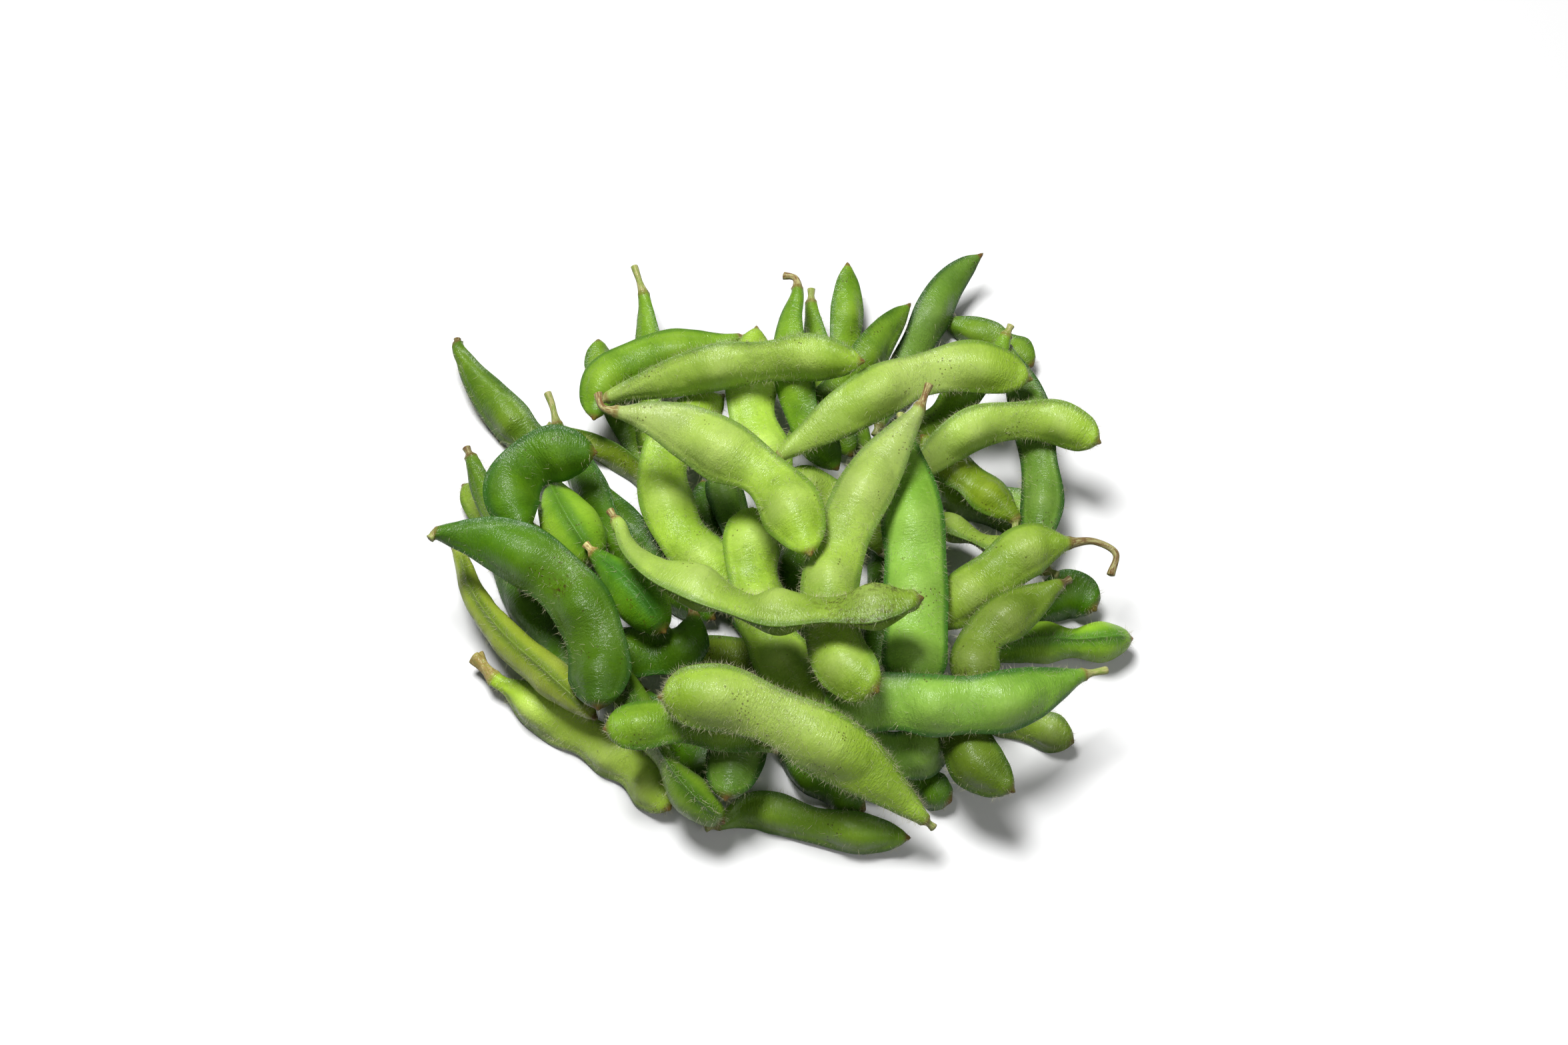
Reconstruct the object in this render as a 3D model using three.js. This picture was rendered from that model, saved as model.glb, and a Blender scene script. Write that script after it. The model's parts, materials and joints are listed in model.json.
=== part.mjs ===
// Edamame pod bundle: a loose heap of fresh soybean pods that lies on a flat surface.
// Millimetres, +Z up. The origin is on that surface, under the middle of the heap.
import * as THREE from "three";

// Driving dimensions, in millimetres unless a comment says otherwise.
const SIDES = 10;              // corners of a pod's cross-section
const THICKNESS_RATIO = 0.68;  // thickness of a pod over its width, at a bean
const WAIST_WIDTH = 0.84;      // width between two beans, over the width at a bean
const WAIST_THICKNESS = 0.55;  // the same for the thickness
const CALYX_RADIUS = 1.3;      // ring where the stalk meets the pod
const STALK_RADIUS = 0.75;
const CUT_RADIUS = 0.95;       // the stalk's cut end is a little swollen
const STUB = 2.5;              // length of a stalk that was cut short
const BEAK_RADIUS = 0.7;
const BEAK_START = 0.93;       // where the beak leaves the end past the last bean, 0 to 1
const NECK_POWER = 1.15;       // 1 for a neck that swells at once, more for a longer neck
const END_RATIO = 0.8;         // thickness over width where the body closes at the beak
const NECK_RINGS = [0, 0.3, 0.65];  // rings between the calyx and the first bean, 0 to 1
const END_RINGS = [0.5, 0.8];       // rings between the last bean and the beak, 0 to 1
const CUT_DOME = 0.2;          // the cut end bulges by this much
const BLUNT = 1.7;             // 1.5 for a pointed end, 2.5 for a round one
const END_POWER = 0.75;        // 0.5 closes the end like an ellipse, 1 like a cone
const AIR = 0.45;              // kept free above and around each pod
const SINK = 0.5;              // depth by which a pod's underside is pressed flat by the ground

// The heap is planned as it is seen from the front and above: each place is [across, up]
// on a plane that faces the viewer. A pod slides away from the viewer along its lines of
// sight until the pods laid before it, or the ground, carry it.
const SIGHT_ELEVATION = THREE.MathUtils.degToRad(60);
const SIGHT_DISTANCE = 480;
const PLAN_HEIGHT = 18;        // height of the plan's centre above the ground

// How a pod may settle: slopes of its whole length, and vertical bends (per millimetre).
const COARSE_SLOPES = range(-24, 24, 6).map(THREE.MathUtils.degToRad);
const FINE_SLOPES = range(-6, 6, 3).map(THREE.MathUtils.degToRad);
const BENDS = [-0.006, -0.003, 0, 0.003];
const SLIPS = [-1, 0, 1].flatMap((across) => [-1, 0, 1].map((up) => [across, up]));
const SLIP = 2;                // how far a pod may slip over the plan to lie lower
const STRETCH = 1.16;          // real length of a pod that lies level, over its length on the plan
const SLOPE_EFFORT = 20;       // millimetres of height that a slope of one radian is worth
const BEND_EFFORT = 100;
const SLIP_EFFORT = 0.4;
const STRETCH_EFFORT = 50;
const HIGHEST_START = 75;
const TOUCH = 0.03;            // a pod this close to its support has landed
const STEP_SHARE = 0.6;        // share of the free height that one step down uses
const MOST_STEPS = 40;
const HALVINGS = 6;

const TINTS = {
  yellow: 0xa5c350,
  fresh: 0x86b43c,
  sage: 0x78aa4b,
  olive: 0x6e8c24,
  deep: 0x4a8024,
};

function range(first, last, step) {
  const values = [];
  for (let value = first; value <= last; value += step) values.push(value);
  return values;
}

// ---------------------------------------------------------------- lines of sight

const toViewer = new THREE.Vector3(0, -Math.cos(SIGHT_ELEVATION), Math.sin(SIGHT_ELEVATION));
const planUp = new THREE.Vector3(0, Math.sin(SIGHT_ELEVATION), Math.cos(SIGHT_ELEVATION));
const planCentre = new THREE.Vector3(0, 0, PLAN_HEIGHT);
const eye = planCentre.clone().addScaledVector(toViewer, SIGHT_DISTANCE);

// The point at a given height that is seen at [across, up].
function seenAt(across, up, height) {
  const target = planCentre.clone().addScaledVector(planUp, up);
  target.x += across;
  const reach = (height - eye.z) / (target.z - eye.z);
  return target.sub(eye).multiplyScalar(reach).add(eye);
}

// ---------------------------------------------------------------- a pod's shape

function ease(t) {
  return t * t * (3 - 2 * t);
}

// Half width and half thickness of the pod's body at a fraction of its length.
function bodySize(pod, at) {
  const first = pod.beans[0];
  const last = pod.beans[pod.beans.length - 1];
  const half = pod.width / 2;
  if (at < first) {
    const t = at / first;
    const foot = CALYX_RADIUS * pod.husk;
    const width = foot + (half - foot) * Math.sin(t * Math.PI / 2) ** NECK_POWER;
    return [width, width * THREE.MathUtils.lerp(1, pod.ratio, ease(t))];
  }
  if (at > last) {
    const t = (at - last) / (1 - last);
    const width = half * (1 - t ** pod.blunt) ** END_POWER;
    return [width, width * THREE.MathUtils.lerp(pod.ratio, END_RATIO, t ** 3)];
  }
  return [half, half * pod.ratio];
}

// The rings of a pod from its cut end to its beak. Each has its place on the plan, its
// half width and its half thickness.
function ringsOf(pod, slipAcross, slipUp) {
  const slipped = ([across, up]) => new THREE.Vector3(across + slipAcross, up + slipUp, 0);
  const line = pod.line.map(slipped);
  const body = new THREE.CatmullRomCurve3(line, false, "centripetal");
  const rings = [];
  const addRing = (point, width, thickness) => {
    rings.push({ across: point.x, up: point.y, width, thickness });
  };

  const stub = line[0].clone().addScaledVector(body.getTangentAt(0), -STUB);
  const cut = pod.stalk ? pod.stalk.map(slipped) : [stub];
  const stalk = new THREE.CatmullRomCurve3([...cut, line[0]], false, "centripetal");
  const stalkSteps = Math.max(2, cut.length);
  for (let step = 0; step < stalkSteps; step += 1) {
    const radius = (step === 0 ? CUT_RADIUS : STALK_RADIUS) * pod.husk;
    addRing(stalk.getPointAt(step / stalkSteps), radius, radius);
  }

  const first = pod.beans[0];
  const last = pod.beans[pod.beans.length - 1];
  for (const t of NECK_RINGS) {
    addRing(body.getPointAt(first * t), ...bodySize(pod, first * t));
  }
  pod.beans.forEach((bean, index) => {
    if (index > 0) {
      const waist = (bean + pod.beans[index - 1]) / 2;
      const [width, thickness] = bodySize(pod, waist);
      addRing(body.getPointAt(waist), width * pod.waist, thickness * pod.dip);
    }
    addRing(body.getPointAt(bean), ...bodySize(pod, bean));
  });
  for (const t of END_RINGS) {
    const at = last + (1 - last) * t;
    addRing(body.getPointAt(at), ...bodySize(pod, at));
  }
  addRing(body.getPointAt(last + (1 - last) * BEAK_START), BEAK_RADIUS, BEAK_RADIUS);

  const beak = body.getPointAt(1);
  rings.beak = { across: beak.x, up: beak.y };
  rings.along = [0];
  for (let index = 1; index < rings.length; index += 1) {
    const across = rings[index].across - rings[index - 1].across;
    const up = rings[index].up - rings[index - 1].up;
    rings.along.push(rings.along[index - 1] + Math.hypot(across, up));
  }
  rings.full = rings.along[rings.length - 1];
  return rings;
}

// Triangles between the rings, closed by a point at each end. They are the same for every
// pod with as many rings.
function trianglesOf(ringCount) {
  const corners = [];
  const cutPoint = ringCount * SIDES;
  const beakPoint = cutPoint + 1;
  for (let side = 0; side < SIDES; side += 1) {
    const next = (side + 1) % SIDES;
    corners.push(cutPoint, next, side);
    for (let ring = 0; ring + 1 < ringCount; ring += 1) {
      const here = ring * SIDES;
      const there = here + SIDES;
      corners.push(here + side, here + next, there + next);
      corners.push(here + side, there + next, there + side);
    }
    const end = (ringCount - 1) * SIDES;
    corners.push(beakPoint, end + side, end + next);
  }
  return corners;
}

// Corner points of a pod whose middle is at a height, with a slope and a vertical bend.
function cornersOf(pod, rings, height, slope, bend, grow = 0) {
  const rise = Math.tan(slope);
  const heightAt = (along) => {
    const offset = along - rings.full / 2;
    return height + rise * offset + bend * (offset * offset - rings.full * rings.full / 12);
  };
  const centres = rings.map((ring, index) => seenAt(ring.across, ring.up, heightAt(rings.along[index])));
  const beak = seenAt(rings.beak.across, rings.beak.up, heightAt(rings.full));
  const points = [];
  const tangent = new THREE.Vector3();
  for (let index = 0; index < centres.length; index += 1) {
    const before = centres[Math.max(0, index - 1)];
    const after = index + 1 < centres.length ? centres[index + 1] : beak;
    tangent.subVectors(after, before).normalize();
    const broad = toViewer.clone().addScaledVector(tangent, -toViewer.dot(tangent)).normalize();
    const turn = pod.turn + pod.twist * (rings.along[index] / rings.full - 0.5);
    broad.applyAxisAngle(tangent, THREE.MathUtils.degToRad(turn));
    const wide = new THREE.Vector3().crossVectors(broad, tangent);
    for (let side = 0; side < SIDES; side += 1) {
      const angle = side / SIDES * Math.PI * 2;
      points.push(centres[index].clone()
        .addScaledVector(wide, (rings[index].width + grow) * Math.cos(angle))
        .addScaledVector(broad, (rings[index].thickness + grow) * Math.sin(angle)));
    }
  }
  const start = new THREE.Vector3().subVectors(centres[0], centres[1]).normalize();
  points.push(centres[0].clone().addScaledVector(start, CUT_DOME + grow));
  points.push(beak.clone().addScaledVector(tangent, grow));
  return points;
}

// ---------------------------------------------------------------- the heap's surface

const CELL = 0.5;              // spacing of the height map of the heap
const HEAP_HALF = 110;         // the map reaches this far from the plan's centre
const LEAST_AREA = 1e-9;       // a triangle that stands upright covers no cell
const EDGE_SLACK = 0.02;       // so that no cell is missed between two triangles
const CELLS = Math.round(2 * HEAP_HALF / CELL);
const ground = new Float32Array(CELLS * CELLS).fill(-SINK);

// Calls visit(cell, height) for each cell under the triangles that face up, or down.
function scan(points, corners, facing, visit) {
  for (let index = 0; index < corners.length; index += 3) {
    const a = points[corners[index]];
    const b = points[corners[index + 1]];
    const c = points[corners[index + 2]];
    const area = (b.x - a.x) * (c.y - a.y) - (b.y - a.y) * (c.x - a.x);
    if (area * facing <= LEAST_AREA) continue;
    const left = Math.ceil((Math.min(a.x, b.x, c.x) + HEAP_HALF) / CELL - 0.5);
    const right = Math.floor((Math.max(a.x, b.x, c.x) + HEAP_HALF) / CELL - 0.5);
    const front = Math.ceil((Math.min(a.y, b.y, c.y) + HEAP_HALF) / CELL - 0.5);
    const back = Math.floor((Math.max(a.y, b.y, c.y) + HEAP_HALF) / CELL - 0.5);
    for (let row = front; row <= back; row += 1) {
      const y = (row + 0.5) * CELL - HEAP_HALF;
      for (let column = left; column <= right; column += 1) {
        const x = (column + 0.5) * CELL - HEAP_HALF;
        const toB = ((x - a.x) * (c.y - a.y) - (y - a.y) * (c.x - a.x)) / area;
        const toC = ((b.x - a.x) * (y - a.y) - (b.y - a.y) * (x - a.x)) / area;
        if (toB < -EDGE_SLACK || toC < -EDGE_SLACK || toB + toC > 1 + EDGE_SLACK) continue;
        visit(row * CELLS + column, a.z + toB * (b.z - a.z) + toC * (c.z - a.z));
      }
    }
  }
}

// Free height under a pod: negative where it would cut into the heap.
function clearance(points, corners) {
  let least = Infinity;
  scan(points, corners, -1, (cell, height) => {
    const free = height - ground[cell];
    if (free < least) least = free;
  });
  return least;
}

// Slides a pod down its lines of sight until something carries it. Where a step goes too
// far, the last free height and the first blocked one are halved between.
function slideDown(pod, rings, corners, slope, bend) {
  const freeAt = (height) => clearance(cornersOf(pod, rings, height, slope, bend), corners);
  let clear = HIGHEST_START;
  let height = HIGHEST_START;
  for (let step = 0; step < MOST_STEPS; step += 1) {
    const free = freeAt(height);
    if (free < 0) break;
    clear = height;
    if (free < TOUCH) return clear;
    height -= Math.max(free * STEP_SHARE, TOUCH);
  }
  for (let step = 0; step < HALVINGS; step += 1) {
    const between = (clear + height) / 2;
    if (freeAt(between) < 0) height = between;
    else clear = between;
  }
  return clear;
}

// Real length of a pod over its length on the plan.
function stretchOf(rings, height, slope) {
  const rise = Math.tan(slope) * rings.full / 2;
  const start = rings[0];
  const end = rings[rings.length - 1];
  const real = seenAt(end.across, end.up, height + rise).distanceTo(
    seenAt(start.across, start.up, height - rise));
  return real / Math.hypot(end.across - start.across, end.up - start.up);
}

// A pod comes to rest at the slip, slope and bend that let its middle lie lowest. The search
// is coarse over all three, then fine about the best.
function restingPlace(pod, corners) {
  let best = null;
  const tryPlaces = (slips, slopes, bends) => {
    for (const slip of slips) {
      const rings = ringsOf(pod, slip[0] * pod.slip, slip[1] * pod.slip);
      for (const slope of slopes) {
        for (const bend of bends) {
          const height = slideDown(pod, rings, corners, slope, bend);
          const effort = height + SLOPE_EFFORT * slope * slope + BEND_EFFORT * Math.abs(bend)
            + SLIP_EFFORT * pod.slip * Math.hypot(...slip)
            + STRETCH_EFFORT * Math.max(0, stretchOf(rings, height, slope) - pod.stretch);
          if (best === null || effort < best.effort) best = { effort, rings, height, slope, bend, slip };
        }
      }
    }
  };
  tryPlaces(SLIPS, COARSE_SLOPES, [0]);
  tryPlaces([best.slip], FINE_SLOPES.map((slope) => slope + best.slope), BENDS);
  return best;
}

function podGeometry(points, corners, centre) {
  const geometry = new THREE.BufferGeometry();
  const values = [];
  for (const point of points) {
    values.push(point.x - centre.x, point.y - centre.y, Math.max(point.z, 0) - centre.z);
  }
  geometry.setAttribute("position", new THREE.Float32BufferAttribute(values, 3));
  geometry.setIndex(corners);
  geometry.computeVertexNormals();
  return geometry;
}

const heap = new THREE.Group();
heap.name = "edamame_pod_bundle";

// Lays one pod on the heap. beans are the places of its beans along the body, turn is 0
// with its broad side to the viewer and 90 on edge, twist is how far it winds over its length.
// husk is above 1 for a pod with dry flower rests round its stalk.
function lay(name, tint, width, beans, turn, line, more = {}) {
  const usual = {
    twist: 0,
    ratio: THICKNESS_RATIO,
    waist: WAIST_WIDTH,
    dip: WAIST_THICKNESS,
    blunt: BLUNT,
    husk: 1,
    slip: SLIP,
    stretch: STRETCH,
  };
  const pod = { ...usual, width, beans, turn, line, ...more };
  const corners = trianglesOf(ringsOf(pod, 0, 0).length);
  const place = restingPlace(pod, corners);
  const points = cornersOf(pod, place.rings, place.height, place.slope, place.bend);
  const grown = cornersOf(pod, place.rings, place.height, place.slope, place.bend, AIR);
  scan(grown, corners, 1, (cell, height) => {
    if (height > ground[cell]) ground[cell] = height;
  });

  const centre = new THREE.Vector3();
  points.forEach((point) => centre.addScaledVector(point, 1 / points.length));
  const material = new THREE.MeshStandardMaterial({ color: TINTS[tint], roughness: 0.5, metalness: 0 });
  const mesh = new THREE.Mesh(podGeometry(points, corners, centre), material);
  mesh.name = name;
  mesh.position.copy(centre);
  heap.add(mesh);
}

// ---------------------------------------------------------------- laying order

lay("pod_inner_front_1", "deep", 11, [0.35, 0.75], 20,
    [[1, 4], [3, -8], [9, -21], [15, -29]]);
lay("pod_inner_left_1", "deep", 10, [0.4, 0.8], 30,
    [[-7, -22], [-11, -11], [-15, 1], [-18, 14]]);
lay("pod_inner_left_3", "deep", 10.5, [0.35, 0.75], 20,
    [[-40, 12], [-34, 2], [-26, -8], [-15, -17]]);
lay("pod_inner_right_1", "fresh", 12, [0.4, 0.8], 20,
    [[29, 20], [38, 12], [48, 8], [59, 4]]);
lay("pod_inner_left_2", "deep", 12, [0.4, 0.8], 30,
    [[-65, -1], [-59, -10], [-52, -21], [-45, -35]]);
lay("pod_front_under_1", "olive", 12, [0.4, 0.8], 10,
    [[14, -32], [-2, -26], [-15, -24], [-26, -27]]);
lay("pod_front_under_2", "deep", 11, [0.4, 0.75], 30,
    [[-31, -33], [-25, -42], [-20, -49], [-16, -57]]);
lay("pod_front_under_3", "deep", 10, [0.45, 0.8], 30,
    [[19, -48], [25, -51], [30, -53], [37, -57]]);
lay("pod_front_under_4", "deep", 10, [0.45, 0.8], 40,
    [[-2, -43], [5, -51], [11, -55], [18, -59]]);
lay("pod_right_under_1", "sage", 12, [0.35, 0.75], 10,
    [[9, -43], [17, -46], [27, -47], [37, -43]]);
lay("pod_back_1", "fresh", 8.5, [0.45, 0.8], 30,
    [[-31, 17], [-36, 29], [-40, 38], [-41, 45]]);
lay("pod_left_under_1", "olive", 8, [0.45, 0.8], 40,
    [[-50, 25], [-43, 22], [-33, 16], [-24, 7]],
    { stalk: [[-52, 26]] });
lay("pod_back_2", "fresh", 8.5, [0.35, 0.75], 20,
    [[19, 18], [14, 30], [13, 43], [14, 52], [14, 62]]);
lay("pod_back_3", "fresh", 9, [0.5, 0.82], 30,
    [[8, 55], [9, 46], [12, 33], [17, 21]],
    { stalk: [[8, 58]] });
lay("pod_back_4", "fresh", 9, [0.5, 0.82], 20,
    [[35, 49], [43, 46], [51, 42], [55, 39]],
    { stalk: [[31, 50]] });
lay("pod_back_5", "sage", 10, [0.3, 0.6], 20,
    [[23, 26], [30, 40], [35, 51], [40, 59], [46, 64]]);
lay("pod_back_6", "fresh", 9.5, [0.3, 0.62], 20,
    [[1, 22], [9, 30], [17, 39], [22, 46], [28, 53]]);
lay("pod_right_1", "sage", 10, [0.35, 0.75], 20,
    [[49, 43], [53, 33], [56, 21], [57, 10], [55, -3]]);
lay("pod_right_2", "deep", 12, [0.55], 20,
    [[54, -17], [59, -13], [64, -11], [69, -15]],
    { blunt: 2.4, stalk: [[52, -18]] });
lay("pod_inner_right_2", "deep", 9, [0.35, 0.8], 40,
    [[22, 16], [22, 2], [21, -12], [20, -29]]);
lay("pod_inner_1", "sage", 9.5, [0.35, 0.8], 30,
    [[-3, -17], [-7, -4], [-12, 8], [-15, 18]]);
lay("pod_left_1", "yellow", 10.5, [0.35, 0.78], 30,
    [[-46, -11], [-55, -4], [-65, 4], [-73, 11]]);
lay("pod_left_2", "fresh", 10, [0.55, 0.85], 20,
    [[-69, 19], [-66, 11], [-60, 4], [-56, -4], [-53, -12]],
    { stalk: [[-70, 21]] });
lay("pod_left_3", "deep", 12, [0.3, 0.7], 20,
    [[-20, -16], [-21, -21], [-26, -24], [-34, -24], [-41, -20]],
    { stalk: [[-21, -11]] });
lay("pod_back_7", "fresh", 9, [0.5, 0.82], 30,
    [[-33, 53], [-32, 42], [-32, 30], [-30, 15]],
    { stalk: [[-35, 59], [-34, 56]] });
lay("pod_back_8", "fresh", 11, [0.35, 0.78], 10,
    [[-10, 45], [-17, 43], [-26, 42], [-35, 39], [-40, 35], [-42, 27]]);
lay("pod_inner_2", "yellow", 12.5, [0.3, 0.7], 10,
    [[1, 11], [-1, 18], [-5, 32], [-5, 40], [-4, 50]]);
lay("pod_inner_3", "fresh", 9.5, [0.5, 0.82], 20,
    [[3, 56], [1, 46], [3, 33], [6, 25], [12, 16]],
    { stalk: [[0, 59], [2, 59]] });
lay("pod_inner_4", "fresh", 9, [0.5, 0.8], 20,
    [[51, 48], [48, 42], [43, 37], [38, 31], [27, 22]],
    { stalk: [[52, 50]] });
lay("pod_right_3", "olive", 9.5, [0.3, 0.65], 20,
    [[53, 7], [49, 11], [40, 18], [32, 26]],
    { stalk: [[53, 5]] });
lay("pod_right_4", "yellow", 10, [0.35, 0.75], 70,
    [[60, -4], [49, 1], [40, 5], [32, 8]]);
lay("pod_inner_5", "yellow", 10, [0.35, 0.8], 20,
    [[20, 0], [16, 6], [10, 11], [-2, 17]],
    { blunt: 2.2 });
lay("pod_front_1", "fresh", 10, [0.3, 0.72], 20,
    [[-15, -60], [-7, -57], [7, -60], [17, -62], [28, -63]]);
lay("pod_front_5", "yellow", 11.5, [0.35, 0.62, 0.85], 20,
    [[-64, -30], [-52, -38], [-42, -44], [-32, -51], [-25, -59]],
    { husk: 1.8, stalk: [[-68, -25]] });
lay("pod_front_3", "fresh", 12, [0.35, 0.78], 80,
    [[-38, -25], [-35, -32], [-29, -43], [-23, -53], [-13, -62]],
    { ratio: 0.75, blunt: 2.4 });
lay("pod_front_2", "sage", 12.5, [0.62], 10,
    [[-8, -32], [-9, -37], [-11, -43], [-13, -51], [-15, -59]],
    { blunt: 2.2 });
lay("pod_right_5", "yellow", 9.5, [0.35, 0.78], 20,
    [[40, -37], [46, -38], [54, -40], [64, -44]]);
lay("pod_right_6", "fresh", 12, [0.62], 10,
    [[34, -32], [37, -40], [40, -48], [49, -55]]);
lay("pod_middle_1", "yellow", 12.5, [0.25, 0.5, 0.8], 10,
    [[-7, -16], [-12, -11], [-21, -2], [-26, 8], [-25, 20], [-13, 31]],
    { waist: 0.88 });
lay("pod_middle_2", "yellow", 13, [0.3, 0.55, 0.84], 10,
    [[9, -37], [2, -29], [-3, -20], [-6, -10], [-7, -1], [-7, 8]],
    { blunt: 2.4 });
lay("pod_left_4", "fresh", 11, [0.6, 0.85], 20,
    [[-72, 44], [-68, 36], [-61, 28], [-56, 22], [-50, 16]],
    { stalk: [[-72, 45]] });
lay("pod_left_5", "deep", 12, [0.4, 0.64, 0.86], 40,
    [[-48, 28], [-43, 18], [-38, 8], [-32, -4], [-28, -13]],
    { stalk: [[-50, 35], [-49, 32]] });
lay("pod_left_8", "fresh", 13.5, [0.58], 80,
    [[-53, 18], [-50, 11], [-46, 4], [-41, -3]],
    { ratio: 1, blunt: 3 });
lay("pod_left_6", "deep", 13.5, [0.3, 0.72], 20,
    [[-57, 1], [-60, 9], [-58, 15], [-54, 18], [-48, 19], [-41, 19]],
    { slip: 1, waist: 0.88 });
lay("pod_left_7", "deep", 12.5, [0.58], 75,
    [[-42, -2], [-39, -5], [-33, -11], [-26, -20]],
    { ratio: 0.95, blunt: 2.6 });
lay("pod_left_9", "yellow", 11, [0.72], 80,
    [[-72, -1], [-68, -12], [-62, -20], [-52, -29], [-41, -39]],
    { ratio: 0.8, stalk: [[-73, 1]] });
lay("pod_front_4", "fresh", 10.5, [0.35, 0.78], 20,
    [[-1, -45], [-8, -42], [-17, -40], [-29, -40], [-40, -41]],
    { blunt: 2.4 });
lay("pod_right_7", "fresh", 12, [0.45, 0.8], 75,
    [[42, -25], [49, -23], [54, -22], [68, -22], [77, -21]],
    { ratio: 0.8, dip: 0.75 });
lay("pod_right_8", "yellow", 12, [0.28, 0.7], 10,
    [[63, 0], [55, -1], [46, -7], [39, -13], [33, -19]],
    { waist: 0.9, stalk: [[72, -7], [74, -4], [70, 0]] });
lay("pod_right_9", "yellow", 10.5, [0.4, 0.8], 20,
    [[25, 14], [32, 18], [39, 24], [49, 27], [59, 27], [70, 22]],
    { blunt: 2.4 });
lay("pod_right_10", "sage", 14, [0.36, 0.6, 0.84], 0,
    [[27, 26], [29, 10], [30, -8], [30, -21], [29, -35]],
    { slip: 1, waist: 0.95 });
lay("pod_right_11", "yellow", 11, [0.45, 0.8], 20,
    [[59, -9], [49, -15], [42, -21], [40, -27], [41, -33]],
    { blunt: 2.2, stalk: [[61, -8]] });
lay("pod_top_1", "deep", 14, [0.35, 0.62, 0.86], 10,
    [[-77, 2], [-67, 1], [-55, -4], [-46, -12], [-41, -23], [-41, -37]],
    { stretch: 1.04, slip: 1, waist: 0.93, stalk: [[-78, 1]] });
lay("pod_top_2", "sage", 13, [0.32, 0.58, 0.84], 0,
    [[66, -29], [48, -35], [36, -36], [23, -35], [8, -36]],
    { stretch: 1.04, slip: 1, waist: 0.92, stalk: [[71, -28]] });
lay("pod_top_3", "yellow", 11.5, [0.45, 0.79], 25,
    [[-39, 32], [-26, 36], [-14, 39], [6, 41], [18, 40]],
    { stretch: 1.04, slip: 1, stalk: [[-41, 31]] });
lay("pod_top_4", "yellow", 12, [0.42, 0.78], 0,
    [[0, 19], [10, 26], [21, 33], [33, 38], [43, 39], [56, 36]],
    { stretch: 1.04, slip: 1, waist: 0.8, blunt: 2.2, stalk: [[-2, 17]] });
lay("pod_top_5", "yellow", 12.5, [0.32, 0.6, 0.87], 10,
    [[30, 30], [21, 17], [13, 2], [10, -11], [12, -25], [21, -33]],
    { stretch: 1.04, slip: 1, waist: 0.92, blunt: 2.4, stalk: [[32, 35]] });
lay("pod_top_6", "yellow", 14, [0.45, 0.8], 0,
    [[-36, 28], [-26, 26], [-12, 19], [-1, 11], [4, 4], [7, -4]],
    { stretch: 1.04, slip: 1, waist: 0.74, dip: 0.5, stalk: [[-40, 32], [-39, 29]] });
lay("pod_top_7", "yellow", 14, [0.42, 0.8], 0,
    [[31, -61], [18, -50], [7, -43], [-4, -38], [-15, -34], [-28, -34]],
    { stretch: 1.04, slip: 1, waist: 0.82, blunt: 2.6 });
lay("pod_top_8", "yellow", 14, [0.33, 0.57, 0.85], -65,
    [[-37, 5], [-32, -3], [-18, -10], [-12, -13], [-1, -15], [8, -15], [20, -14], [31, -12]],
    { ratio: 0.75, stretch: 1.04, slip: 1.5, waist: 0.8, dip: 0.42 });

// ---------------------------------------------------------------- origin

// The heap stands on z = 0, centred on the origin.
const bounds = new THREE.Box3().setFromObject(heap);
const middle = bounds.getCenter(new THREE.Vector3());
heap.position.set(-middle.x, -middle.y, -bounds.min.z);

export default heap;
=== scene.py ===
"""Edamame pod bundle: a heap of fresh soybean pods with their skin, seams, stalks and down."""
import json
import math
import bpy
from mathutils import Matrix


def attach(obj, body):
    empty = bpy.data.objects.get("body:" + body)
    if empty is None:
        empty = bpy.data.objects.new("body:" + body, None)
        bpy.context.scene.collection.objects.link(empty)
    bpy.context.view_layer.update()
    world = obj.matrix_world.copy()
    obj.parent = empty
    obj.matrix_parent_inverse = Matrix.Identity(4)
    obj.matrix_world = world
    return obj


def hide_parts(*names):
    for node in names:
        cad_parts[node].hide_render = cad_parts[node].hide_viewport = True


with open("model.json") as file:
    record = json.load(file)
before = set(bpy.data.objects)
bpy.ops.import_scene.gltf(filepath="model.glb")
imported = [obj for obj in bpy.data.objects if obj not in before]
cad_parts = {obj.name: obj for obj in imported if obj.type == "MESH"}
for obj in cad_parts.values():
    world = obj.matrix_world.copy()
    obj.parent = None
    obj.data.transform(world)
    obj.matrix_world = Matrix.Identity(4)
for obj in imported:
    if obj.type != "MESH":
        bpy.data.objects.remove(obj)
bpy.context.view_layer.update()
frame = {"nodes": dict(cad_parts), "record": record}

from types import SimpleNamespace

import bmesh
import bpy
import numpy as np
from mathutils import Vector

MM = 0.001

# ------------------------ sizes

SIDES = 10                  # corners of a CAD pod's cross-section
SAME_PLACE = 2e-6           # corners of loose triangles this close together are one corner
STALK_RINGS = 3             # CAD rings of the stalk, too round to tell a pod's broad way

FINE = dict(step=0.52, around=56)      # millimetres along a pod, corners round it
COARSE = dict(step=0.85, around=40)
COARSE_PREFIXES = ("pod_inner", "pod_back", "pod_front_under", "pod_right_under", "pod_left_under")
SEAM_CROWDING = 0.55        # how much closer the corners lie at the two seams

LEAST_RINGS = 24            # fine rings of the shortest pod
STALK_SWELL = 1.3           # a CAD ring wider than this, over the one before, is the calyx

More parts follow.
